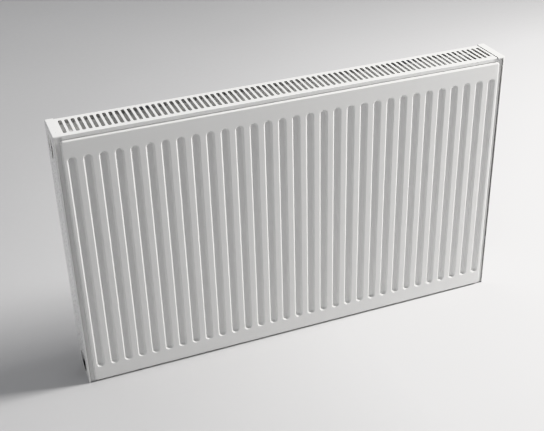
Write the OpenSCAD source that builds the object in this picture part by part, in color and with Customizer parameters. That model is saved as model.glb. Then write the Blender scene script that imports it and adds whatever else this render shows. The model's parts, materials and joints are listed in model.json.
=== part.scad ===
// Compact steel panel radiator with a built-in valve: two pressed water panels,
// two convectors between them, a lift-off top grille, pull-off side covers,
// a valve insert with a hand cap at the top right and an air vent at the top left.
// Millimetres, +Z up, front face towards -Y, origin at the bottom centre of the overall box.

/* [Radiator] */
// Overall width over the two side covers
radiator_w = 1000; // [640:1:1600]
// Overall height from the floor to the top of the side covers
radiator_h = 600; // [400:1:900]
// Depth from the front face to the back face of the rear panel
radiator_d = 92; // [88:1:125]

/* [Water panels] */
// Thickness of the pressed steel sheets
sheet_t = 1.2; // [1:0.05:1.5]
// Depth of one pressed sheet, from its face to the welded seam
sheet_depth = 6; // [5:0.1:8]
// Distance from the side cover's outer face to the edge of a panel's raised face
face_inset = 13; // [11.5:0.5:18]
// Distance from the top of the side covers down to the top of a panel's raised face
face_drop = 12.5; // [11.5:0.5:16]
// Radius of the raised face's rounded border
face_edge_r = 3; // [2:0.1:4]
// Radius of the raised face's corners, seen from the front
face_corner_r = 6; // [4:0.5:12]
// Welded seam lip beyond the raised face, at the sides and the top
seam_lip = 8; // [6:0.5:9]
// Welded seam lip below the raised face, which stands on the floor
seam_foot = 3; // [2:0.5:6]

/* [Grooves] */
// Distance between neighbouring grooves
groove_pitch = 31.3; // [28:0.1:40]
// Width of a groove at the face
groove_w = 16; // [10:0.5:20]
// Height of the flat header band above and below the grooves
header_h = 36; // [32:1:60]
// Least distance from the raised face's side edge to the first groove's centre
groove_margin = 15; // [12:0.5:24]

/* [Convectors] */
// Thickness of the convector sheet
fin_t = 0.5; // [0.4:0.1:0.8]
// Width of each convector channel where it is welded to a waterway
fin_base_w = 14; // [10:0.5:15]
// Gap between the two convectors at mid depth
fin_gap = 3; // [2:0.5:6]
// Height left free between a tapping's axis and the convectors
fin_end_gap = 25; // [18:1:60]

/* [Tappings and pipes] */
// Minor radius of a G1/2 tapping
tap_r = 9.32; // [9.3:0.01:9.4]
// Distance from a tapping's axis to the raised face's top or bottom edge
tap_inset = 27; // [25:0.5:32]
// Distance from the side cover's outer face to the tee's centre line
tee_inset = 44.7; // [40:0.1:60]
// Distance from the side cover's outer face to the end of a tapping boss
boss_inset = 16; // [14:0.5:18]
// Outer radius of a tee
tee_r = 13; // [12:0.5:14]
// Outer radius of a tapping boss
boss_r = 15; // [13:0.5:18]
// Distance between the two bottom pipe connections
connection_pitch = 50; // [40:1:60]
// Height of the bottom connections' lower ends above the floor
connection_z = 6; // [4:0.5:8]
// Outer radius of the riser pipe
riser_r = 7.5; // [6:0.1:9]
// Wall of the riser pipe
riser_t = 1; // [0.8:0.1:1.5]

/* [Side covers and grille] */
// Thickness of the cover sheets
cover_t = 0.8; // [0.6:0.1:1.2]
// Width of a side cover's top cap
cap_w = 17; // [16:0.5:30]
// Width of the narrow edge that a side cover folds in front and behind
cover_edge = 4; // [3:0.5:4.5]
// Distance that the side covers stand back from the front and back faces
cover_setback = 1.5; // [0.5:0.1:2]
// Radius of the openings around the tappings
access_r = 24; // [21:0.5:26]
// Step down from the caps to the grille
grille_step = 1.5; // [1:0.1:3]
// Distance between neighbouring grille slots
slot_pitch = 12.6; // [10:0.1:20]
// Width of a grille slot
slot_w = 7.2; // [5:0.1:9]
// Bare rim in front of and behind the grille slots
grille_rim = 11.5; // [8:0.5:20]
// Height of the grille's folded front and rear edges
grille_fold_h = 8; // [6:0.5:9.5]

/* [Wall lugs] */
// Width of a hanging lug
lug_w = 36; // [34:1:44]
// Height of a hanging lug
lug_h = 50; // [30:1:70]
// Distance that a hanging lug stands out from the back face
lug_depth = 8; // [7:0.5:12]
// Thickness of a hanging lug
lug_t = 2; // [1.5:0.1:3]
// Distance from the side to a hanging lug's centre, rounded to a groove
lug_inset = 150; // [100:1:200]
// Distance from a tapping's axis to the nearer end of a hanging lug
lug_offset = 60; // [40:1:100]

/* [Valve] */
// Radius of the insert's neck, for an M30 thread
neck_r = 15; // [14.8:0.05:15.2]
// Radius of the valve spindle
spindle_r = 2; // [1.5:0.1:2.5]
// Travel of the spindle from open to closed
valve_travel = 2.3; // [2:0.05:2.3]
// Outer radius of the hand cap
knob_r = 19.5; // [18.5:0.1:20.5]
// Distance that the hand cap stands out past the side cover
knob_proud = 12; // [12:0.1:16]
// Radius of the wire of the valve spring
wire_r = 0.45; // [0.3:0.01:0.5]
// Turns of the valve spring
spring_turns = 6; // [4:1:7]

/* [Clearances] */
// Radial clearance between screwed parts
thread_gap = 0.1; // [0.05:0.01:0.15]
// Radial clearance of parts that turn or slide in each other
running_gap = 0.05; // [0.03:0.01:0.08]
// Gap between the covers, the grille and the panels
cover_gap = 0.5; // [0.4:0.05:0.6]
// Gap between a spring clip and the seam that it grips
clip_gap = 0.35; // [0.3:0.05:0.5]

/* [Hidden] */
$fn = 48;
past = 1;                                        // how far a cut runs past a face

// The bottom centre of the overall box, which takes in the hand cap and the lugs
frame_x = -knob_proud / 2;
frame_y = -lug_depth / 2;

// Panels
face_w = radiator_w - 2 * face_inset;
face_z0 = seam_foot;
face_z1 = radiator_h - face_drop;
face_mid_z = (face_z0 + face_z1) / 2;
seam_y = radiator_d / 2 - sheet_depth;           // mid plane of each water panel
inner_y = radiator_d / 2 - 2 * sheet_depth;      // panel faces towards the convectors
groove_n = floor((face_w - 2 * groove_margin) / groove_pitch + 0.001) + 1;
groove_x0 = -(groove_n - 1) / 2 * groove_pitch;
groove_half_h = (face_z1 - face_z0) / 2 - header_h;
water_r = 8;                                     // holes from a panel into the tees

// Tees and bosses
tap_hi_z = face_z1 - tap_inset;
tap_lo_z = face_z0 + tap_inset;
tee_x = radiator_w / 2 - tee_inset;
boss_x = radiator_w / 2 - boss_inset;
tee_bore_r = tee_r - 3;
tee_drop = tee_inset - boss_inset;               // from a boss's end in to the tee's centre
thread_r = tap_r - thread_gap;
thread_l = 12;
seal_t = 1.5;

// Bottom connections and riser
connection_r = 14;
flow_x = tee_x - connection_pitch;
connection_l = 14;
riser_bend_r = 20;
riser_socket_r = riser_r + running_gap;

// Convectors stand clear of the tees on the left and of the riser on the right
fin_depth = inner_y - fin_gap / 2;
fin_z0 = tap_lo_z + fin_end_gap;
fin_h = tap_hi_z - fin_end_gap - fin_z0;
fin_first = ceil((tee_r + 4 - tee_x - groove_x0) / groove_pitch - 0.5 + fin_base_w / groove_pitch / 2);
fin_last = floor((flow_x - connection_r - 4 - groove_x0) / groove_pitch - 0.5 - fin_base_w / groove_pitch / 2);

// Side covers and grille
cover_y = radiator_d / 2 - cover_setback;
cover_z0 = 0.5;                                  // bottom edge, just off the floor
cover_edge_r = 2;                                // radius of the covers' rounded folds
web_x = radiator_w / 2 - cover_t;
seam_x = face_w / 2 + seam_lip;
seam_z1 = face_z1 + seam_lip;
grille_z = radiator_h - grille_step;
grille_half_w = radiator_w / 2 - cap_w - cover_gap;
grille_y = seam_y + sheet_t + cover_gap + cover_t;
slot_l = 2 * (grille_y - grille_rim);
slot_end_margin = 6;                             // least bare strip at each end of the grille
slot_n = floor((2 * (grille_half_w - slot_end_margin) - slot_w) / slot_pitch) + 1;
clip_leg_l = grille_z - cover_t - face_z1 - 0.7;   // ends above the panels' raised faces
clip_w = 25;
grille_clip_x = radiator_w * 0.3;
cover_clip_z = [tap_lo_z + 90, tap_hi_z - 90];

// Wall lugs, each centred on a groove of the rear panel
lug_i = round((groove_n - 1) / 2 + (radiator_w / 2 - lug_inset) / groove_pitch);
lug_x = groove_x0 + lug_i * groove_pitch;

// Plugs and vent, measured outwards along their axes from the ends of the bosses
plug_head_r = 13;
plug_head_l = 4.5;
socket_r = 6.9;
socket_l = 8;
vent_neck_r = 7;
vent_neck_s = seal_t + plug_head_l;
vent_neck_l = 6.5;
vent_duct_r = 1;
bleed_r = 3;
bleed_bore_s = -8;
bleed_head_l = 2.5;
bleed_square_w = 5;

// Valve, measured outwards along its axis from the end of the boss
nose_l = 6;                                      // nose that seals in the tee's far wall
nose_r = riser_r - 0.6;
nose_s = -tee_drop - tee_r + 1.7;
seat_s = nose_s + nose_l + 3;
chamber_l = 10;
chamber_r = 7.5;
seat_bore_r = 4.5;
guide_s = seat_s + chamber_l;
guide_l = 4;
spring_s0 = guide_s + guide_l;
hex_s = seal_t;
hex_l = 5;
neck_s1 = boss_inset;                            // the neck ends level with the side cover
disc_t = 2;
disc_s = seat_s + valve_travel + 0.1;            // lower face of the disc when open
collar_rim_s = hex_s + hex_l + 0.2;
collar_rim_l = 1.5;
gland_s0 = -1;
gland_s1 = neck_s1 + 1.2;
spindle_s1 = gland_s1 + valve_travel;
plunger_s0 = spindle_s1 + 0.3;
ring_s0 = neck_s1 + 0.3;
ring_l = 2.2;
web_s0 = ring_s0 + ring_l + 1.7;
web_l = 2;
knob_s1 = boss_inset + knob_proud;
knob_wall = 1.2;
spring_collar_s = spring_s0 + 12;
plunger_hex_r = 4.6;
plunger_thread_r = 3.2;

// ---------------------------------------------------------------- placing
module placed() {
    translate([frame_x, frame_y, 0]) children();
}

// A flat shape drawn in X and Z, filled from depth y0 to depth y1
module slab(y0, y1) {
    translate([0, y1, 0]) rotate([90, 0, 0]) linear_extrude(y1 - y0) children();
}

// A local Z axis that points out of the right or left boss, from the boss's end
module on_right_boss(z) {
    placed() translate([boss_x, 0, z]) rotate([0, 90, 0]) children();
}

module on_left_boss(z) {
    placed() translate([-boss_x, 0, z]) rotate([0, -90, 0]) children();
}

module ring(r_out, r_in, l) {
    difference() {
        cylinder(r = r_out, h = l);
        translate([0, 0, -past]) cylinder(r = r_in, h = l + 2 * past);
    }
}

// Hexagonal prism, given by its corner radius
module hex_prism(corner_r, l) {
    cylinder(r = corner_r, h = l, $fn = 6);
}

// Rectangle whose two corners at y = 0 are rounded
module tray_profile(w, d, r) {
    translate([-w / 2, r]) square([w, d - r]);
    translate([-w / 2 + r, 0]) square([w - 2 * r, r]);
    for (side = [-1, 1]) translate([side * (w / 2 - r), r]) circle(r);
}

// Rectangle with four rounded corners
module rounded_rect(w, h, r) {
    square([w - 2 * r, h], center = true);
    square([w, h - 2 * r], center = true);
    for (sx = [-1, 1], sz = [-1, 1]) translate([sx * (w / 2 - r), sz * (h / 2 - r)]) circle(r);
}

module stadium(w, half_h) {
    square([w, 2 * half_h - w], center = true);
    for (side = [-1, 1]) translate([0, side * (half_h - w / 2)]) circle(w / 2);
}

// ---------------------------------------------------------------- water panels
module groove_row(grow) {
    for (i = [0 : groove_n - 1]) {
        translate([groove_x0 + i * groove_pitch, face_mid_z])
            stadium(groove_w + 2 * grow, groove_half_h + grow);
    }
}

// The raised face as a solid, with every face drawn in by inset; the seam side is open
module raised_face(inset, d) {
    w = face_w - 2 * inset;
    h = face_z1 - face_z0 - 2 * inset;
    r = face_edge_r - inset;
    translate([0, inset, face_mid_z]) intersection() {
        translate([0, 0, -h / 2]) linear_extrude(h) tray_profile(w, d, r);
        rotate([90, 0, 90]) translate([0, 0, -w / 2]) linear_extrude(w)
            rotate(-90) tray_profile(h, d, r);
        slab(0, d) rounded_rect(w, h, face_corner_r - inset);
    }
}

// One pressed sheet: its face is at y = 0 and its seam at y = sheet_depth
module pressed_sheet(water_holes) {
    difference() {
        union() {
            raised_face(0, sheet_depth);
            translate([-seam_x, sheet_depth - sheet_t, 0]) cube([2 * seam_x, sheet_t, seam_z1]);
        }
        slab(-past, sheet_depth - sheet_t) groove_row(0);
        difference() {
            raised_face(sheet_t, sheet_depth);
            slab(-past, sheet_depth + past) groove_row(sheet_t);
        }
        if (water_holes) {
            for (sx = [-1, 1], z = [tap_lo_z, tap_hi_z])
                translate([sx * tee_x, -past, z]) rotate([-90, 0, 0])
                    cylinder(r = water_r, h = sheet_depth);
        }
    }
}

module front_panel_face_sheet() {
    color("white") placed() translate([0, -radiator_d / 2, 0]) pressed_sheet(false);
}

module front_panel_back_sheet() {
    color("white") placed() translate([0, -inner_y, 0]) mirror([0, 1, 0]) pressed_sheet(true);
}

module rear_panel_front_sheet() {
    color("white") placed() translate([0, inner_y, 0]) pressed_sheet(true);
}

module rear_panel_back_sheet() {
    color("white") placed() translate([0, radiator_d / 2, 0]) mirror([0, 1, 0]) pressed_sheet(false);
}

// ---------------------------------------------------------------- convectors
function waterway_x(k) = groove_x0 + (k + 0.5) * groove_pitch;

// One folded strip: welded bases at y = 0, folds at y = depth
module convector_sheet() {
    b = fin_base_w / 2;
    t = fin_t;
    y1 = fin_depth;
    near = [for (k = [fin_first : fin_last]) each [
        [waterway_x(k) - b + (k == fin_first ? 0 : t), t], [waterway_x(k) + b - t, t],
        if (k < fin_last) [waterway_x(k) + b - t, y1],
        if (k < fin_last) [waterway_x(k + 1) - b + t, y1]]];
    far = [for (k = [fin_last : -1 : fin_first]) each [
        [waterway_x(k) + b - (k == fin_last ? t : 0), 0], [waterway_x(k) - b, 0],
        if (k > fin_first) [waterway_x(k) - b, y1 - t],
        if (k > fin_first) [waterway_x(k - 1) + b, y1 - t]]];
    translate([0, 0, fin_z0]) linear_extrude(fin_h) polygon(concat(near, far));
}

module front_convector() {
    color("gainsboro") placed() translate([0, -inner_y, 0]) convector_sheet();
}

module rear_convector() {
    color("gainsboro") placed() translate([0, inner_y, 0]) mirror([0, 1, 0]) convector_sheet();
}

// ---------------------------------------------------------------- tees and pipes
// The tee's centre is at the origin, with its boss along +Z
module tee_solid() {
    rotate([90, 0, 0]) cylinder(r = tee_r, h = 2 * inner_y, center = true);
    cylinder(r = boss_r, h = tee_drop);
}

module tee_bores() {
    rotate([90, 0, 0]) cylinder(r = tee_bore_r, h = 2 * inner_y + 2 * past, center = true);
    cylinder(r = tap_r, h = tee_drop + past);
}

module left_tee(z) {
    color("white") on_left_boss(z) translate([0, 0, -tee_drop]) difference() {
        tee_solid();
        tee_bores();
    }
}

module top_left_tee() {
    left_tee(tap_hi_z);
}

module bottom_left_tee() {
    left_tee(tap_lo_z);
}

// The far wall holds the insert's nose, and the riser pipe from outside
module top_right_tee() {
    color("white") on_right_boss(tap_hi_z) translate([0, 0, -tee_drop]) difference() {
        tee_solid();
        tee_bores();
        translate([0, 0, -tee_r - past]) cylinder(r = riser_socket_r, h = tee_r + past);
    }
}

// The return connection joins from below, and its tapping runs on through the tee's wall
module bottom_right_tee() {
    color("white") difference() {
        on_right_boss(tap_lo_z) translate([0, 0, -tee_drop]) difference() {
            tee_solid();
            tee_bores();
        }
        placed() translate([tee_x, 0, 0]) cylinder(r = tap_r, h = tap_lo_z);
    }
}

module return_connection() {
    color("white") placed() difference() {
        translate([tee_x, 0, connection_z]) cylinder(r = connection_r, h = tap_lo_z - connection_z);
        translate([tee_x, 0, 0]) cylinder(r = tap_r, h = tap_lo_z + past);
        translate([tee_x, 0, tap_lo_z]) rotate([90, 0, 0])
            cylinder(r = tee_r, h = 2 * inner_y, center = true);
        translate([tee_x, 0, tap_lo_z]) rotate([0, 90, 0]) cylinder(r = boss_r, h = tee_inset);
    }
}

module flow_connection() {
    body_l = connection_l + 8;
    color("white") placed() translate([flow_x, 0, connection_z]) difference() {
        cylinder(r = connection_r, h = body_l);
        translate([0, 0, -past]) cylinder(r = tap_r, h = connection_l + past);
        translate([0, 0, -past]) cylinder(r = riser_socket_r, h = body_l + 2 * past);
    }
}

module riser_pipe() {
    z0 = connection_z + connection_l;
    bend_z = tap_hi_z - riser_bend_r;
    end_x = tee_x - tee_r + 1.2;
    color("white") placed() {
        translate([flow_x, 0, z0]) ring(riser_r, riser_r - riser_t, bend_z - z0);
        translate([flow_x + riser_bend_r, 0, bend_z]) rotate([90, 0, 180])
            rotate_extrude(angle = 90) translate([riser_bend_r, 0]) difference() {
                circle(riser_r);
                circle(riser_r - riser_t);
            }
        translate([flow_x + riser_bend_r, 0, tap_hi_z]) rotate([0, 90, 0])
            ring(riser_r, riser_r - riser_t, end_x - flow_x - riser_bend_r);
    }
}

// ---------------------------------------------------------------- wall lugs
module wall_hanging_lugs() {
    color("white") placed() for (sx = [-1, 1], z = [tap_lo_z + lug_offset, tap_hi_z - lug_offset - lug_h])
        translate([sx * lug_x - lug_w / 2, radiator_d / 2, z]) difference() {
            cube([lug_w, lug_depth, lug_h]);
            translate([lug_t, -past, -past])
                cube([lug_w - 2 * lug_t, lug_depth - lug_t + past, lug_h + 2 * past]);
        }
}

// ---------------------------------------------------------------- plugs and vent
module blanking_plug() {
    difference() {
        union() {
            translate([0, 0, -thread_l]) cylinder(r = thread_r, h = thread_l + seal_t);
            translate([0, 0, seal_t]) cylinder(r = plug_head_r, h = plug_head_l);
        }
        translate([0, 0, seal_t + plug_head_l - socket_l]) hex_prism(socket_r, socket_l + past);
    }
}

module boss_seal() {
    ring(plug_head_r - 0.5, thread_r, seal_t);
}

module blanking_plugs() {
    color("white") {
        on_left_boss(tap_lo_z) blanking_plug();
        on_right_boss(tap_lo_z) blanking_plug();
    }
}

module blanking_plug_seals() {
    color("black") {
        on_left_boss(tap_lo_z) boss_seal();
        on_right_boss(tap_lo_z) boss_seal();
    }
}

module air_vent_body() {
    color("lightgray") on_left_boss(tap_hi_z) difference() {
        union() {
            translate([0, 0, -thread_l]) cylinder(r = thread_r, h = thread_l + seal_t);
            translate([0, 0, seal_t]) hex_prism(plug_head_r, plug_head_l);
            translate([0, 0, vent_neck_s]) cylinder(r = vent_neck_r, h = vent_neck_l);
        }
        translate([0, 0, bleed_bore_s])
            cylinder(r = bleed_r + running_gap, h = vent_neck_s + vent_neck_l - bleed_bore_s + past);
        translate([0, 0, -thread_l - past]) cylinder(r = vent_duct_r, h = thread_l);
        translate([0, 0, vent_neck_s + vent_neck_l / 2]) rotate([0, -90, 0])
            cylinder(r = vent_duct_r, h = vent_neck_r + past);
    }
}

module air_vent_seal() {
    color("black") on_left_boss(tap_hi_z) boss_seal();
}

// The spout turns on the vent's neck and points down at rest
module air_vent_spout() {
    spout_r = 11;
    spout_l = vent_neck_l - 0.8;
    bore_r = vent_neck_r + running_gap;
    nozzle_r = 2.4;
    nozzle_l = 17;
    color("white") on_left_boss(tap_hi_z) translate([0, 0, vent_neck_s + 0.4]) difference() {
        union() {
            cylinder(r = spout_r, h = spout_l);
            translate([0, 0, spout_l / 2]) rotate([0, -90, 0]) cylinder(r = nozzle_r, h = nozzle_l);
        }
        translate([0, 0, -past]) cylinder(r = bore_r, h = spout_l + 2 * past);
        translate([0, 0, spout_l / 2]) rotate([0, -90, 0]) cylinder(r = vent_duct_r, h = nozzle_l + past);
    }
}

module bleed_screw() {
    tip_l = 2;
    shank_s1 = vent_neck_s + vent_neck_l + 0.5;
    color("silver") on_left_boss(tap_hi_z) {
        translate([0, 0, bleed_bore_s + 0.3]) cylinder(r1 = 0.8, r2 = bleed_r, h = tip_l);
        translate([0, 0, bleed_bore_s + 0.3 + tip_l])
            cylinder(r = bleed_r, h = shank_s1 - bleed_bore_s - 0.3 - tip_l);
        translate([-bleed_square_w / 2, -bleed_square_w / 2, shank_s1])
            cube([bleed_square_w, bleed_square_w, bleed_head_l]);
    }
}

// ---------------------------------------------------------------- valve insert
module valve_insert_body() {
    color("goldenrod") on_right_boss(tap_hi_z) difference() {
        union() {
            translate([0, 0, nose_s]) cylinder(r = nose_r, h = nose_l);
            translate([0, 0, nose_s + nose_l]) cylinder(r = chamber_r + 0.9, h = -nose_s - nose_l);
            translate([0, 0, -thread_l]) cylinder(r = thread_r, h = thread_l + hex_s);
            translate([0, 0, hex_s]) hex_prism(neck_r + 3.5, hex_l);
            translate([0, 0, hex_s + hex_l]) cylinder(r = neck_r, h = neck_s1 - hex_s - hex_l);
        }
        translate([0, 0, nose_s - past]) cylinder(r = seat_bore_r, h = seat_s - nose_s + 2 * past);
        translate([0, 0, seat_s]) cylinder(r = chamber_r, h = chamber_l);
        translate([0, 0, guide_s - past]) cylinder(r = spindle_r + running_gap, h = guide_l + 2 * past);
        translate([0, 0, spring_s0]) cylinder(r = chamber_r - 1.5, h = gland_s0 - spring_s0 + past);
        translate([0, 0, gland_s0]) cylinder(r = 8, h = neck_s1 - gland_s0 + past);
        translate([0, 0, seat_s + chamber_l / 2]) for (a = [0, 90]) rotate([90, 0, a])
            cylinder(r = 3, h = 30, center = true);
    }
}

module valve_insert_seal() {
    color("black") on_right_boss(tap_hi_z) boss_seal();
}

// Ring seal in front of the nose's shoulder, between the nose and the tee's far wall
module valve_nose_seal() {
    color("black") on_right_boss(tap_hi_z) translate([0, 0, nose_s + 0.8])
        ring(riser_socket_r, nose_r, 1.5);
}

module valve_gland() {
    color("goldenrod") on_right_boss(tap_hi_z) difference() {
        union() {
            translate([0, 0, gland_s0]) cylinder(r = 8 - thread_gap, h = neck_s1 - gland_s0 - 2);
            translate([0, 0, neck_s1 - 2 - past]) cylinder(r = 6, h = gland_s1 - neck_s1 + 2 + past);
        }
        translate([0, 0, gland_s0 - past])
            cylinder(r = spindle_r + running_gap, h = gland_s1 - gland_s0 + 2 * past);
        translate([0, 0, 3]) cylinder(r = spindle_r + 2.2, h = 2.4);
    }
}

module valve_stem_seal() {
    seal_r = 1;
    color("black") on_right_boss(tap_hi_z) translate([0, 0, 4.2])
        rotate_extrude() translate([spindle_r + running_gap + seal_r + 0.05, 0]) circle(seal_r);
}

// Spindle with its disc holder at the seat end and its spring collar
module valve_spindle() {
    holder_s = disc_s + disc_t;
    color("silver") on_right_boss(tap_hi_z) {
        translate([0, 0, disc_s - 1]) cylinder(r = 3.2, h = 1);
        translate([0, 0, disc_s]) cylinder(r = spindle_r, h = spindle_s1 - disc_s);
        translate([0, 0, holder_s]) cylinder(r = 5.5, h = 1.4);
        translate([0, 0, spring_collar_s]) cylinder(r = 5.2, h = 1.5);
    }
}

module valve_disc_seal() {
    color("black") on_right_boss(tap_hi_z) translate([0, 0, disc_s])
        ring(6.4, spindle_r, disc_t);
}

// Helical spring between the guide wall and the spindle's collar
function spring_centre(a, rise) = [0, 0, rise * a / 360];

module valve_spring() {
    coil_r = 3.8;
    steps = 16;
    sides = 8;
    length = spring_collar_s - spring_s0 - 2 * wire_r - 0.1;
    count = spring_turns * steps;
    rise = length / spring_turns;
    points = [for (i = [0 : count], j = [0 : sides - 1])
        let (a = 360 * i / steps, b = 360 * j / sides, r = coil_r + wire_r * cos(b))
        spring_centre(a, rise) + [r * cos(a), r * sin(a), wire_r * sin(b)]];
    rings = [for (i = [0 : count - 1], j = [0 : sides - 1])
        let (k = (j + 1) % sides)
        [i * sides + j, i * sides + k, (i + 1) * sides + k, (i + 1) * sides + j]];
    start_cap = [[for (j = [sides - 1 : -1 : 0]) j]];
    end_cap = [[for (j = [0 : sides - 1]) count * sides + j]];
    color("silver") on_right_boss(tap_hi_z) translate([0, 0, spring_s0 + wire_r + 0.05])
        polyhedron(points, concat(rings, start_cap, end_cap));
}

module presetting_ring() {
    notch_n = 8;
    color("lightgray") on_right_boss(tap_hi_z) translate([0, 0, ring_s0]) difference() {
        ring(10, 6 + running_gap, ring_l);
        for (i = [0 : notch_n - 1]) rotate(i * 360 / notch_n) translate([10.4, 0, -past])
            cylinder(r = 1.2, h = ring_l + 2 * past);
    }
}

// ---------------------------------------------------------------- hand cap
module hand_cap_collar() {
    collar_r = neck_r + 2;
    color("white") on_right_boss(tap_hi_z) difference() {
        union() {
            translate([0, 0, collar_rim_s]) cylinder(r = collar_r + 2, h = collar_rim_l);
            translate([0, 0, collar_rim_s]) cylinder(r = collar_r, h = web_s0 + web_l - collar_rim_s);
        }
        translate([0, 0, collar_rim_s - past])
            cylinder(r = neck_r + running_gap, h = web_s0 - collar_rim_s + past);
        translate([0, 0, web_s0 - past]) hex_prism(plunger_hex_r + 0.1, web_l + 2 * past);
    }
}

module hand_cap_plunger() {
    hex_end_s = web_s0 + web_l + 0.8;
    thread_end_s = knob_s1 - knob_wall - 0.3;
    color("lightgray") on_right_boss(tap_hi_z) {
        translate([0, 0, plunger_s0]) hex_prism(plunger_hex_r, hex_end_s - plunger_s0);
        translate([0, 0, hex_end_s]) cylinder(r = plunger_thread_r, h = thread_end_s - hex_end_s);
    }
}

module hand_cap_knob() {
    inner_r = neck_r + 2 + running_gap;
    knob_s0 = collar_rim_s + collar_rim_l + 0.3;
    boss_s0 = web_s0 + web_l + 1.1;
    rib_n = 16;
    color("white") on_right_boss(tap_hi_z) difference() {
        union() {
            translate([0, 0, knob_s0]) difference() {
                cylinder(r = knob_r, h = knob_s1 - knob_s0);
                translate([0, 0, -past]) cylinder(r = inner_r, h = knob_s1 - knob_s0 - knob_wall + past);
            }
            translate([0, 0, boss_s0]) cylinder(r = 6.5, h = knob_s1 - knob_wall - boss_s0 + 0.1);
        }
        translate([0, 0, boss_s0 - past])
            cylinder(r = plunger_thread_r + running_gap, h = knob_s1 - knob_wall - boss_s0 + past);
        for (i = [0 : rib_n - 1]) rotate(i * 360 / rib_n) translate([knob_r + 1.1, 0, knob_s0 + 3])
            cylinder(r = 2, h = knob_s1);
    }
}

// ---------------------------------------------------------------- grille
module slot_row() {
    for (i = [0 : slot_n - 1]) {
        translate([(i - (slot_n - 1) / 2) * slot_pitch, 0])
            rounded_rect(slot_w, slot_l, slot_w / 2 - 0.6);
    }
}

module top_grille() {
    color("white") placed() {
        translate([0, 0, grille_z - cover_t]) linear_extrude(cover_t) difference() {
            square([2 * grille_half_w, 2 * grille_y], center = true);
            slot_row();
        }
        for (side = [-1, 1])
            translate([-grille_half_w, side * (grille_y - cover_t / 2) - cover_t / 2, grille_z - grille_fold_h])
                cube([2 * grille_half_w, cover_t, grille_fold_h - cover_t]);
    }
}

// Spring legs under the grille, which grip the inner side of each panel's seam
module grille_clips() {
    leg_y = seam_y - sheet_t - clip_gap;
    color("silver") placed() for (sx = [-1, 1], sy = [-1, 1])
        translate([sx * grille_clip_x - clip_w / 2, 0, 0]) mirror([0, (1 - sy) / 2, 0]) {
            translate([0, leg_y - 10, grille_z - 2 * cover_t]) cube([clip_w, 10, cover_t]);
            translate([0, leg_y - cover_t, grille_z - cover_t - clip_leg_l])
                cube([clip_w, cover_t, clip_leg_l - cover_t]);
        }
}

// ---------------------------------------------------------------- side covers
// A block with its folds rounded, from x = -w to x = 0 and from z = z0 up
module cover_block(w, inset, z0) {
    d = 2 * (cover_y - inset);
    r = cover_edge_r - inset;
    top = radiator_h - inset;
    intersection() {
        translate([0, 0, z0]) linear_extrude(top - z0) rotate(90) tray_profile(d, w, r);
        rotate([90, 0, 90]) translate([0, top, -w]) linear_extrude(w)
            mirror([0, 1]) tray_profile(d, top - z0, r);
    }
}

// A right-hand cover with its outer face at x = 0
module side_cover() {
    difference() {
        cover_block(cap_w, 0, cover_z0);
        translate([-cover_t, 0, 0]) cover_block(cap_w, cover_t, -past);
        translate([-cap_w - past, -cover_y - past, -past])
            cube([cap_w - cover_edge + past, 2 * (cover_y + past), radiator_h - cover_edge + past]);
        for (z = [tap_lo_z, tap_hi_z]) translate([-cap_w, 0, z]) rotate([0, 90, 0])
            cylinder(r = access_r, h = cap_w + past);
    }
}

// Spring legs inside a cover, which reach behind the edge of each panel's seam
module cover_clips() {
    leg_y = seam_y - sheet_t - clip_gap;
    reach = radiator_w / 2 - cover_t - face_w / 2 - 2;
    for (z = cover_clip_z, side = [0, 1])
        translate([-cover_t, 0, z - clip_w / 2]) mirror([0, side, 0]) {
            translate([-cover_t, leg_y - 12, 0]) cube([cover_t, 12, clip_w]);
            translate([-reach, leg_y - cover_t, 0]) cube([reach - cover_t, cover_t, clip_w]);
        }
}

module right_side_cover() {
    color("white") placed() translate([radiator_w / 2, 0, 0]) side_cover();
}

module right_cover_clips() {
    color("silver") placed() translate([radiator_w / 2, 0, 0]) cover_clips();
}

module left_side_cover() {
    color("white") placed() translate([-radiator_w / 2, 0, 0]) mirror([1, 0, 0]) side_cover();
}

module left_cover_clips() {
    color("silver") placed() translate([-radiator_w / 2, 0, 0]) mirror([1, 0, 0]) cover_clips();
}

front_panel_face_sheet();
front_panel_back_sheet();
rear_panel_front_sheet();
rear_panel_back_sheet();
front_convector();
rear_convector();
top_left_tee();
bottom_left_tee();
top_right_tee();
bottom_right_tee();
flow_connection();
return_connection();
riser_pipe();
wall_hanging_lugs();
blanking_plugs();
blanking_plug_seals();
air_vent_body();
air_vent_seal();
air_vent_spout();
bleed_screw();
valve_insert_body();
valve_insert_seal();
valve_nose_seal();
valve_gland();
valve_stem_seal();
valve_spring();
valve_spindle();
valve_disc_seal();
presetting_ring();
hand_cap_collar();
hand_cap_plunger();
hand_cap_knob();
top_grille();
grille_clips();
left_side_cover();
left_cover_clips();
right_side_cover();
right_cover_clips();
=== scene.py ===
"""A white panel radiator with a built-in valve, standing on a pale studio floor."""

import json
import math

import bmesh
import bpy
from mathutils import Matrix, Vector
from mathutils.geometry import delaunay_2d_cdt


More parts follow.
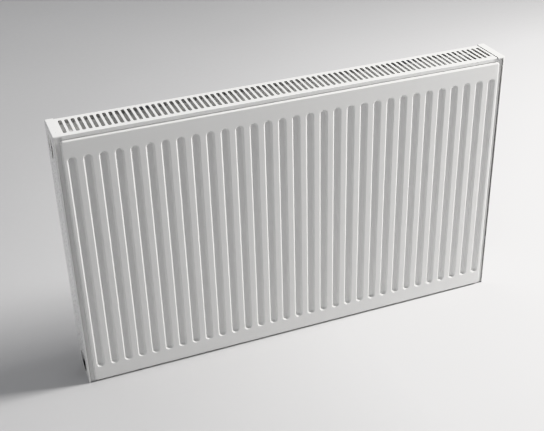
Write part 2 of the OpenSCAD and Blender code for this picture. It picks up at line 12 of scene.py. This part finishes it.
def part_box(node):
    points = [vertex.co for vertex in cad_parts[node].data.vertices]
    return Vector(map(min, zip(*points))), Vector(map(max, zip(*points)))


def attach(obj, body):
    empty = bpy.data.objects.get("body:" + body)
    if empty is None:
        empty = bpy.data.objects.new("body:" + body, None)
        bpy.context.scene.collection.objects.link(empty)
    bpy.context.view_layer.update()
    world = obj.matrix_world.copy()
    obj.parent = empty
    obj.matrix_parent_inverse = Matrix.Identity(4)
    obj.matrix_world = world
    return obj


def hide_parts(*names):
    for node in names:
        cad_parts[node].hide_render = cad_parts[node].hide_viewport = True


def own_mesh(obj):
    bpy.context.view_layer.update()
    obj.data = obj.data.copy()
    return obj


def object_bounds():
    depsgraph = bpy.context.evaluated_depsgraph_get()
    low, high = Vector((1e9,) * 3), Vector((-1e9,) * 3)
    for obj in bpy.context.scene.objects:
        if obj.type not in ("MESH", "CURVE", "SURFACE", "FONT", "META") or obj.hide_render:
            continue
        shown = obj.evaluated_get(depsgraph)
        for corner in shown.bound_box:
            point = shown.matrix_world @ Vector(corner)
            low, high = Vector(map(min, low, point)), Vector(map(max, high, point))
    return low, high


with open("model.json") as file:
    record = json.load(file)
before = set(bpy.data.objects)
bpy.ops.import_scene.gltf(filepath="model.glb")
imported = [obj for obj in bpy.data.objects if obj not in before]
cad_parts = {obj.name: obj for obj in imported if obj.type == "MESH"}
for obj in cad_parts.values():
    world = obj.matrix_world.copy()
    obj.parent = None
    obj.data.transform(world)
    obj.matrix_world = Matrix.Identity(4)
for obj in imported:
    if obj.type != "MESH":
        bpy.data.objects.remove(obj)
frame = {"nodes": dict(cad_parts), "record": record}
cad_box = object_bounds()
MM = 0.001

# ------------------------------------------------------------------ sizes, as in the CAD part
PANEL_T = 1.2  # thickness of a pressed panel sheet
PRESS_DEPTH = 4.8  # from a panel's face down to its seam lip
SEAM_LIP = 8.0
SEAM_FOOT = 3.0
FACE_CORNER_R = 6.0
GROOVE_N = 31
GROOVE_PITCH = 31.3
GROOVE_W = 16.0
HEADER_H = 36.0  # from the edge of a panel's face to the end of a groove
COVER_T = 0.8
COVER_FOLD_R = 2.0
COVER_EDGE = 4.0
CAP_W = 17.0
ACCESS_R = 24.0
SLOT_N = 76
SLOT_PITCH = 12.6
SLOT_W = 7.2
GRILLE_RIM = 11.5
GRILLE_FOLD_H = 8.0
SPRING_TURNS = 6
SPRING_WIRE_R = 0.45

# ------------------------------------------------------------------ bends and edges of the sheets, in mm
BORDER_BEND_R, BORDER_FOOT_R, BORDER_SLOPE = 3.0, 1.4, 80
BORDER_INSET = 3.1  # the flat of a panel's face ends this far inside the face's edge
LIP_CORNER_R = 1.5
GROOVE_BEND_R, GROOVE_FOOT_R, GROOVE_SLOPE = 2.0, 1.5, 50
GROOVE_SPREAD = 1.8  # a groove's mouth is wider than the groove by this, on each side
GRILLE_FOLD_R = 1.4
COVER_CORNER_R = 2.6
SLOT_CORNER_GAP = 0.6  # the radius of a slot's corners is less than half its width by this
SLOT_EDGE = ((0.45, 0), (0.2, 0.06), (0.05, 0.2), (0, 0.4))  # (spread, drop) of the rounded edge
ACCESS_EDGE = ((0.35, 0), (0.15, 0.05), (0, 0.25))
FOLD_ANGLES = [math.radians(15 * i) for i in range(7)]


# ------------------------------------------------------------------ outlines, in mm
def arc(cu, cv, r, start, end, steps):
    """Points along an arc, with angles in degrees."""
    angles = [math.radians(start + (end - start) * i / steps) for i in range(steps + 1)]
    return [(cu + r * math.cos(a), cv + r * math.sin(a)) for a in angles]


def rounded_rect(u0, u1, v0, v1, r, steps=6):
    """A rectangle with rounded corners, anticlockwise from its lower right one."""
    return (
        arc(u1 - r, v0 + r, r, -90, 0, steps)
        + arc(u1 - r, v1 - r, r, 0, 90, steps)
        + arc(u0 + r, v1 - r, r, 90, 180, steps)
        + arc(u0 + r, v0 + r, r, 180, 270, steps)
    )


def stadium(cu, v0, v1, r, steps=14):
    """A slot with round ends of radius r about the centres (cu, v0) and (cu, v1)."""
    return arc(cu, v1, r, 0, 180, steps) + arc(cu, v0, r, 180, 360, steps)


def step_profile(r_top, r_foot, slope, depth, steps):
    """(run, drop) down a pressed step: a bend of r_top, a wall at slope degrees, a bend of r_foot."""
    s = math.radians(slope)
    wall = (depth - (r_top + r_foot) * (1 - math.cos(s))) / math.sin(s)
    run = (r_top + r_foot) * math.sin(s) + wall * math.cos(s)
    angles = [s * i / steps for i in range(steps + 1)]
    top = [(r_top * math.sin(a), r_top * (1 - math.cos(a))) for a in angles]
    foot = [(run - r_foot * math.sin(a), depth - r_foot * (1 - math.cos(a))) for a in reversed(angles)]
    return top + foot


# ------------------------------------------------------------------ objects
def add_object(name, data):
    obj = bpy.data.objects.new(name, data)
    bpy.context.scene.collection.objects.link(obj)
    return obj


def add_mesh(name, verts, faces):
    mesh = bpy.data.meshes.new(name)
    mesh.from_pydata(verts, [], faces)
    return add_object(name, mesh)


def bake(obj, smooth_angle=35):
    """Applies the modifiers, and shades smooth across every bend softer than smooth_angle."""
    evaluated = obj.evaluated_get(bpy.context.evaluated_depsgraph_get())
    mesh = bpy.data.meshes.new_from_object(evaluated)
    obj.modifiers.clear()
    obj.data = mesh
    mesh.polygons.foreach_set("use_smooth", [True] * len(mesh.polygons))
    mesh.set_sharp_from_angle(angle=math.radians(smooth_angle))
    weighted = obj.modifiers.new("normals", "WEIGHTED_NORMAL")
    weighted.keep_sharp = True
    return obj


# ------------------------------------------------------------------ folded and pressed sheet metal
class Sheet:
    """The outer skin of a piece of sheet metal, built from rings of points and given its thickness."""

    def __init__(self, place, flip=False):
        self.place, self.flip = place, flip
        self.verts, self.flat, self.faces = [], [], []

    def ring(self, points, drop):
        """Adds points at one depth below the face, and returns their numbers."""
        first = len(self.verts)
        for u, v in points:
            self.verts.append(self.place(u * MM, v * MM, drop * MM))
            self.flat.append((u, v))
        return list(range(first, len(self.verts)))

    def face(self, loop):
        self.faces.append(loop[::-1] if self.flip else loop)

    def strip(self, inner, outer, closed=True):
        """Joins two rings with a band of faces."""
        count = len(inner)
        for i in range(count if closed else count - 1):
            j = (i + 1) % count
            self.face([inner[i], outer[i], outer[j], inner[j]])

    def strips(self, rings, closed=True):
        """Joins rings that grow outwards, each to the next."""
        for inner, outer in zip(rings, rings[1:]):
            self.strip(inner, outer, closed)

    def walls(self, rings):
        """Joins rings that go down into a hole, each to the next."""
        for outer, inner in zip(rings, rings[1:]):
            self.strip(inner, outer)

    def fill(self, outline, holes):
        """Fills the flat part inside an outline and between convex holes."""
        loops = [outline, *holes]
        ids = [i for loop in loops for i in loop]
        owner = [n for n, loop in enumerate(loops) for _ in loop]
        edges, first = [], 0
        for loop in loops:
            edges += [(first + i, first + (i + 1) % len(loop)) for i in range(len(loop))]
            first += len(loop)
        flat = [Vector(self.flat[i]) for i in ids]
        _, _, triangles, source, _, _ = delaunay_2d_cdt(flat, edges, [], 0, 1e-5)
        for triangle in triangles:
            corners = [source[i][0] for i in triangle]
            owners = {owner[c] for c in corners}
            if len(owners) == 1 and 0 not in owners:
                continue
            a, b, c = (flat[i] for i in corners)
            turn = (b - a).cross(c - a)
            loop = [ids[c] for c in corners]
            self.face(loop if turn > 0 else loop[::-1])

    def build(self, name, thickness):
        obj = add_mesh(name, self.verts, self.faces)
        solid = obj.modifiers.new("thickness", "SOLIDIFY")
        solid.thickness, solid.offset = thickness * MM, -1
        solid.use_even_offset = True
        return bake(obj)


def panel_skin(name, node, outward):
    """The visible sheet of a water panel. outward is -1 for the front panel and 1 for the rear one."""
    lo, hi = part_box(node)
    face_y = lo.y if outward < 0 else hi.y
    sheet = Sheet(lambda u, v, drop: Vector((u, face_y - outward * drop, v)), flip=outward > 0)
    u0, u1 = lo.x / MM + SEAM_LIP, hi.x / MM - SEAM_LIP
    v0, v1 = lo.z / MM + SEAM_FOOT, hi.z / MM - SEAM_LIP

    rings = []
    for run, drop in step_profile(BORDER_BEND_R, BORDER_FOOT_R, BORDER_SLOPE, PRESS_DEPTH, 5):
        inset = BORDER_INSET - run
        outline = rounded_rect(u0 + inset, u1 - inset, v0 + inset, v1 - inset, FACE_CORNER_R - inset)
        rings.append(sheet.ring(outline, drop))
    lip = rounded_rect(lo.x / MM, hi.x / MM, lo.z / MM, hi.z / MM, LIP_CORNER_R)
    rings.append(sheet.ring(lip, PRESS_DEPTH))
    sheet.strips(rings)

    wall = step_profile(GROOVE_BEND_R, GROOVE_FOOT_R, GROOVE_SLOPE, PRESS_DEPTH, 4)
    mouth_r = GROOVE_W / 2 + GROOVE_SPREAD
    mouths = []
    for i in range(GROOVE_N):
        cu = (u0 + u1) / 2 + (i - (GROOVE_N - 1) / 2) * GROOVE_PITCH
        ends = v0 + HEADER_H + GROOVE_W / 2, v1 - HEADER_H - GROOVE_W / 2
        loops = [sheet.ring(stadium(cu, *ends, mouth_r - run), drop) for run, drop in wall]
        sheet.walls(loops)
        sheet.face(loops[-1])
        mouths.append(loops[0])
    sheet.fill(rings[0], mouths)
    return sheet.build(name, PANEL_T)


def grille_skin(name, node):
    """The top grille: a flat sheet with a row of slots, folded down along both long edges."""
    lo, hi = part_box(node)
    sheet = Sheet(lambda u, v, drop: Vector((u, v, hi.z - drop)))
    u0, u1, v0, v1 = (c / MM for c in (lo.x, hi.x, lo.y, hi.y))
    r = GRILLE_FOLD_R
    fold = [(r * math.sin(a), r * (1 - math.cos(a))) for a in FOLD_ANGLES] + [(r, GRILLE_FOLD_H)]
    rows = []
    for out, drop in fold:
        rows.append([sheet.ring([(u0, v0 + r - out), (u1, v0 + r - out)], drop),
                     sheet.ring([(u1, v1 - r + out), (u0, v1 - r + out)], drop)])
    for near, far in zip(rows, rows[1:]):
        for inner, outer in zip(near, far):
            sheet.strip(inner, outer, closed=False)

    mid_u, slot_r = (u0 + u1) / 2, SLOT_W / 2 - SLOT_CORNER_GAP
    mouths = []
    for i in range(SLOT_N):
        cu = mid_u + (i - (SLOT_N - 1) / 2) * SLOT_PITCH
        loops = []
        for out, drop in SLOT_EDGE:
            outline = rounded_rect(cu - SLOT_W / 2 - out, cu + SLOT_W / 2 + out,
                                   v0 + GRILLE_RIM - out, v1 - GRILLE_RIM + out, slot_r + out, 5)
            loops.append(sheet.ring(outline, drop))
        sheet.walls(loops)
        mouths.append(loops[0])
    sheet.fill(rows[0][0] + rows[0][1], mouths)
    return sheet.build(name, COVER_T)


def cover_skin(name, node, outward, hole_heights):
    """A side cover: a flat web with two round openings, folded edges and a wider folded cap."""
    lo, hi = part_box(node)
    web_x = hi.x if outward > 0 else lo.x
    sheet = Sheet(lambda u, v, drop: Vector((web_x - outward * drop, u, v)), flip=outward < 0)
    u0, u1, v0, v1 = (c / MM for c in (lo.y, hi.y, lo.z, hi.z))
    r, split_v = COVER_FOLD_R, v1 - COVER_EDGE

    def outline(inset):
        c = COVER_CORNER_R - inset
        return ([(u1 - inset, v0), (u1 - inset, split_v)]
                + arc(u1 - inset - c, v1 - inset - c, c, 0, 90, 6)
                + arc(u0 + inset + c, v1 - inset - c, c, 90, 180, 6)
                + [(u0 + inset, split_v), (u0 + inset, v0)])

    rings = [sheet.ring(outline(r * (1 - math.sin(a))), r * (1 - math.cos(a))) for a in FOLD_ANGLES]
    rings.append(sheet.ring(outline(0), COVER_EDGE))
    sheet.strips(rings, closed=False)
    top = outline(0)[1:-1]
    sheet.strip(rings[-1][1:-1], sheet.ring(top, CAP_W), closed=False)

    mouths = []
    for height in hole_heights:
        loops = []
        for out, drop in ACCESS_EDGE:
            circle = arc((u0 + u1) / 2, height / MM, ACCESS_R + out, 0, 360, 72)[:-1]
            loops.append(sheet.ring(circle, drop))
        sheet.walls(loops)
        mouths.append(loops[0])
    sheet.fill(rings[0], mouths)
    return sheet.build(name, COVER_T)


# ------------------------------------------------------------------ fittings
def refined(name, node, width):
    """A copy of a CAD node's mesh as one clean surface, with its sharp edges broken by width mm."""
    same_place, same_plane, sharp = 2e-6, math.radians(0.6), math.radians(32)
    mesh = frame["nodes"][node].data.copy()
    work = bmesh.new()
    work.from_mesh(mesh)
    bmesh.ops.remove_doubles(work, verts=work.verts, dist=same_place)
    bmesh.ops.dissolve_limit(work, angle_limit=same_plane, verts=work.verts, edges=work.edges)
    work.to_mesh(mesh)
    work.free()
    obj = add_object(name, mesh)
    bevel = obj.modifiers.new("bevel", "BEVEL")
    bevel.width, bevel.segments = width * MM, 2
    bevel.limit_method, bevel.angle_limit = "ANGLE", sharp
    return bake(obj)


def spring_coil(name, node, steps=28, sides=12):
    """The valve spring as a round wire that winds along X, with capped ends."""
    lo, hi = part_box(node)
    middle, wire_r = (lo + hi) / 2, SPRING_WIRE_R * MM
    coil_r, start, length = (hi.y - lo.y) / 2 - wire_r, lo.x + wire_r, hi.x - lo.x - 2 * wire_r
    count = SPRING_TURNS * steps
    verts, faces = [], []
    for i in range(count + 1):
        a = 2 * math.pi * i / steps
        for j in range(sides):
            b = 2 * math.pi * j / sides
            r = coil_r + wire_r * math.cos(b)
            x = start + length * i / count + wire_r * math.sin(b)
            verts.append((x, middle.y + r * math.sin(a), middle.z - r * math.cos(a)))
    for i in range(count):
        for j in range(sides):
            k = (j + 1) % sides
            near, far = i * sides, (i + 1) * sides
            faces.append((near + j, near + k, far + k, far + j))
    faces.append(tuple(range(sides))[::-1])
    faces.append(tuple(count * sides + j for j in range(sides)))
    return bake(add_mesh(name, verts, faces), smooth_angle=60)


# ------------------------------------------------------------------ materials
class Nodes:
    """One material's node tree, round its Principled shader."""

    def __init__(self, name, **values):
        self.material = bpy.data.materials.new(name)
        self.material.use_nodes = True
        self.tree = self.material.node_tree
        self.shader = self.tree.nodes["Principled BSDF"]
        for socket, value in values.items():
            self.shader.inputs[socket.replace("_", " ")].default_value = value
        self.coords = self.tree.nodes.new("ShaderNodeTexCoord").outputs["Object"]

    def add(self, kind, inputs=None, **settings):
        node = self.tree.nodes.new(kind)
        for key, value in settings.items():
            setattr(node, key, value)
        for key, value in (inputs or {}).items():
            if isinstance(value, bpy.types.NodeSocket):
                self.tree.links.new(value, node.inputs[key])
            else:
                node.inputs[key].default_value = value
        return node

    def noise(self, scale, detail=2.0, stretch=(1, 1, 1)):
        placed = self.add("ShaderNodeMapping", {"Vector": self.coords, "Scale": stretch})
        inputs = {"Vector": placed.outputs[0], "Scale": scale, "Detail": detail}
        return self.add("ShaderNodeTexNoise", inputs).outputs["Fac"]

    def ramp(self, value, low, high, lo_at=0.3, hi_at=0.7):
        """Maps value from lo_at..hi_at to low..high."""
        inputs = {"Value": value, "From Min": lo_at, "From Max": hi_at, "To Min": low, "To Max": high}
        return self.add("ShaderNodeMapRange", inputs).outputs[0]

    def tint(self, value, a, b):
        """Blends colour a into colour b as value rises from 0 to 1."""
        mix = self.add("ShaderNodeMix", data_type="RGBA")
        self.tree.links.new(value, mix.inputs[0])
        mix.inputs[6].default_value, mix.inputs[7].default_value = (*a, 1), (*b, 1)
        return mix.outputs[2]

    def feed(self, socket, output):
        self.tree.links.new(output, self.shader.inputs[socket])

    def bump(self, height, distance, strength):
        inputs = {"Height": height, "Distance": distance, "Strength": strength}
        return self.add("ShaderNodeBump", inputs).outputs[0]


def enamel(name, light, dark, gloss, peel):
    """Stoved enamel: a faint drift in tone, a slightly uneven gloss and a fine orange peel."""
    m = Nodes(name, IOR=1.5, Coat_Weight=0.25, Coat_Roughness=0.12)
    m.feed("Base Color", m.tint(m.noise(3, 1), dark, light))
    m.feed("Roughness", m.ramp(m.noise(160, 2), gloss, gloss + 0.04, 0.15, 0.85))
    m.feed("Normal", m.bump(m.noise(620, 1.5), distance=0.00006, strength=peel))
    return m.material


def metal(name, light, dark, low, high, stretch=(1, 1, 1)):
    """A plated or turned metal, with a grain that stretch draws out along one axis."""
    m = Nodes(name, Metallic=1.0)
    m.feed("Base Color", m.tint(m.noise(60, 3), dark, light))
    m.feed("Roughness", m.ramp(m.noise(240, 3, stretch), low, high))
    m.feed("Normal", m.bump(m.noise(900, 2, stretch), distance=0.00002, strength=0.6))
    return m.material


def plastic(name, light, dark, low, high, grain):
    """A moulded plastic or rubber, with a fine grain all over."""
    m = Nodes(name, IOR=1.46)
    m.feed("Base Color", m.tint(m.noise(45, 2), dark, light))
    m.feed("Roughness", m.ramp(m.noise(150, 3), low, high))
    m.feed("Normal", m.bump(m.noise(grain, 2), distance=0.00004, strength=0.5))
    return m.material


MATERIALS = {
    "panel_paint": enamel("panel_enamel", (0.86, 0.86, 0.85), (0.845, 0.845, 0.835), 0.28, 0.4),
    "cover_paint": enamel("cover_enamel", (0.87, 0.87, 0.86), (0.855, 0.855, 0.845), 0.26, 0.35),
    "pipework_paint": enamel("pipework_enamel", (0.82, 0.82, 0.81), (0.77, 0.77, 0.76), 0.32, 0.8),
    "convector_paint": enamel("convector_enamel", (0.78, 0.78, 0.77), (0.72, 0.72, 0.71), 0.38, 0.9),
    "spring_steel": metal("zinc_plate", (0.62, 0.64, 0.68), (0.48, 0.50, 0.54), 0.28, 0.45),
    "plug_plate": metal("nickel_plate", (0.80, 0.78, 0.74), (0.72, 0.70, 0.66), 0.12, 0.24),
    "valve_brass": metal("turned_brass", (0.80, 0.60, 0.30), (0.66, 0.46, 0.20), 0.18, 0.34, (9, 1, 1)),
    "stainless": metal("stainless_steel", (0.68, 0.68, 0.69), (0.55, 0.55, 0.57), 0.16, 0.30, (9, 1, 1)),
    "seal_rubber": plastic("black_rubber", (0.030, 0.030, 0.030), (0.018, 0.018, 0.018), 0.55, 0.75, 1500),
    "cap_plastic": plastic("cap_plastic", (0.84, 0.84, 0.82), (0.80, 0.80, 0.78), 0.30, 0.42, 900),
    "vent_plastic": plastic("vent_plastic", (0.80, 0.80, 0.77), (0.74, 0.74, 0.71), 0.40, 0.55, 900),
    "preset_plastic": plastic("preset_plastic", (0.085, 0.092, 0.10), (0.06, 0.066, 0.072), 0.42, 0.6, 1100),
}
SLOT_OF = {part["node"]: part["material_slot"] for part in frame["record"]["subparts"]}
BODY_OF = {node: body for body, nodes in frame["record"]["behaviour"]["bodies"].items() for node in nodes}

# ------------------------------------------------------------------ pieces
for node, obj in frame["nodes"].items():
    obj.data.materials.clear()
    obj.data.materials.append(MATERIALS[SLOT_OF[node]])


def stand_for(node, obj):
    """Puts obj in the place of a CAD node, with the node's material, body and slot."""
    slot = SLOT_OF[node]
    obj.data.materials.clear()
    obj.data.materials.append(MATERIALS[slot])
    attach(obj, BODY_OF[node])
    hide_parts(node)


def centre_z(node):
    lo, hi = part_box(node)
    return (lo.z + hi.z) / 2


hole_heights = [centre_z("blanking_plugs"), centre_z("air_vent_body")]
stand_for("front_panel_face_sheet", panel_skin("front_panel_face", "front_panel_face_sheet", -1))
stand_for("rear_panel_back_sheet", panel_skin("rear_panel_back", "rear_panel_back_sheet", 1))
stand_for("top_grille", grille_skin("grille", "top_grille"))
stand_for("left_side_cover", cover_skin("left_cover", "left_side_cover", -1, hole_heights))
stand_for("right_side_cover", cover_skin("right_cover", "right_side_cover", 1, hole_heights))
EDGE_WIDTHS = {
    "wall_hanging_lugs": 0.35,
    "blanking_plugs": 0.35,
    "air_vent_body": 0.3,
    "air_vent_spout": 0.4,
    "bleed_screw": 0.2,
    "hand_cap_knob": 0.5,
    "hand_cap_collar": 0.25,
    "valve_insert_body": 0.3,
    "flow_connection": 0.4,
    "return_connection": 0.4,
}
for node, width in EDGE_WIDTHS.items():
    stand_for(node, refined(node + "_finish", node, width))

spring = spring_coil("valve_spring_coil", "valve_spring")
stand_for("valve_spring", spring)
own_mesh(spring)

# ------------------------------------------------------------------ floor, light and camera
lo, hi = cad_box
FLOOR_HALF, FLOOR_GAP = 9, 0.0002
corners = [(-FLOOR_HALF, -FLOOR_HALF, 0), (FLOOR_HALF, -FLOOR_HALF, 0),
           (FLOOR_HALF, FLOOR_HALF, 0), (-FLOOR_HALF, FLOOR_HALF, 0)]
floor = add_mesh("floor", corners, [(0, 1, 2, 3)])
floor.location.z = lo.z - FLOOR_GAP
paper = Nodes("studio_floor", IOR=1.4)
paper.feed("Base Color", paper.tint(paper.noise(1.5, 2), (0.53, 0.53, 0.535), (0.565, 0.565, 0.57)))
paper.feed("Roughness", paper.ramp(paper.noise(60, 3), 0.55, 0.7))
floor.data.materials.append(paper.material)

world = bpy.data.worlds.new("studio")
world.use_nodes = True
sky = world.node_tree.nodes["Background"].inputs
sky["Color"].default_value = (0.93, 0.95, 1.0, 1)
sky["Strength"].default_value = 0.14
bpy.context.scene.world = world


def area_light(name, place, target, size, watts, colour=(1, 1, 1)):
    data = bpy.data.lights.new(name, "AREA")
    data.shape, data.size, data.size_y = "RECTANGLE", *size
    data.energy, data.color = watts, colour
    light = add_object(name, data)
    light.location = place
    light.rotation_mode = "QUATERNION"
    light.rotation_quaternion = (Vector(target) - Vector(place)).to_track_quat("-Z", "Y")


area_light("key", (2.75, -0.38, 2.0), (0, -0.05, 0.3), (0.8, 0.8), 205, (1.0, 0.985, 0.965))
area_light("overhead", (-0.5, 0.5, 5.0), (-0.5, 0.5, 0), (7.0, 7.0), 90)
area_light("left_fill", (-3.0, -0.6, 1.3), (-0.5, 0, 0.3), (1.6, 1.6), 12)
area_light("back_fill", (-0.8, 3.0, 1.8), (0, 0, 0.3), (2.0, 1.6), 8)

# The camera looks at a point on the front face, from the left and from above
AZIMUTH, ELEVATION, ROLL = math.radians(20.44), math.radians(30.28), math.radians(-1.66)
DISTANCE = 2.127
AIM_LEFT, AIM_UP = 0.066, 0.3257  # from the middle of the foot of the CAD box's front
target = Vector(((lo.x + hi.x) / 2 - AIM_LEFT, lo.y, lo.z + AIM_UP))
forward = Vector((math.sin(AZIMUTH) * math.cos(ELEVATION),
                  math.cos(AZIMUTH) * math.cos(ELEVATION), -math.sin(ELEVATION)))
camera = add_object("camera", bpy.data.cameras.new("camera"))
camera.data.sensor_width, camera.data.lens = 36, 64.8
camera.location = target - forward * DISTANCE
camera.rotation_mode = "QUATERNION"
camera.rotation_quaternion = forward.to_track_quat("-Z", "Y") @ Matrix.Rotation(ROLL, 3, "Z").to_quaternion()
bpy.context.scene.camera = camera

bpy.context.scene.view_settings.view_transform = "Khronos PBR Neutral"
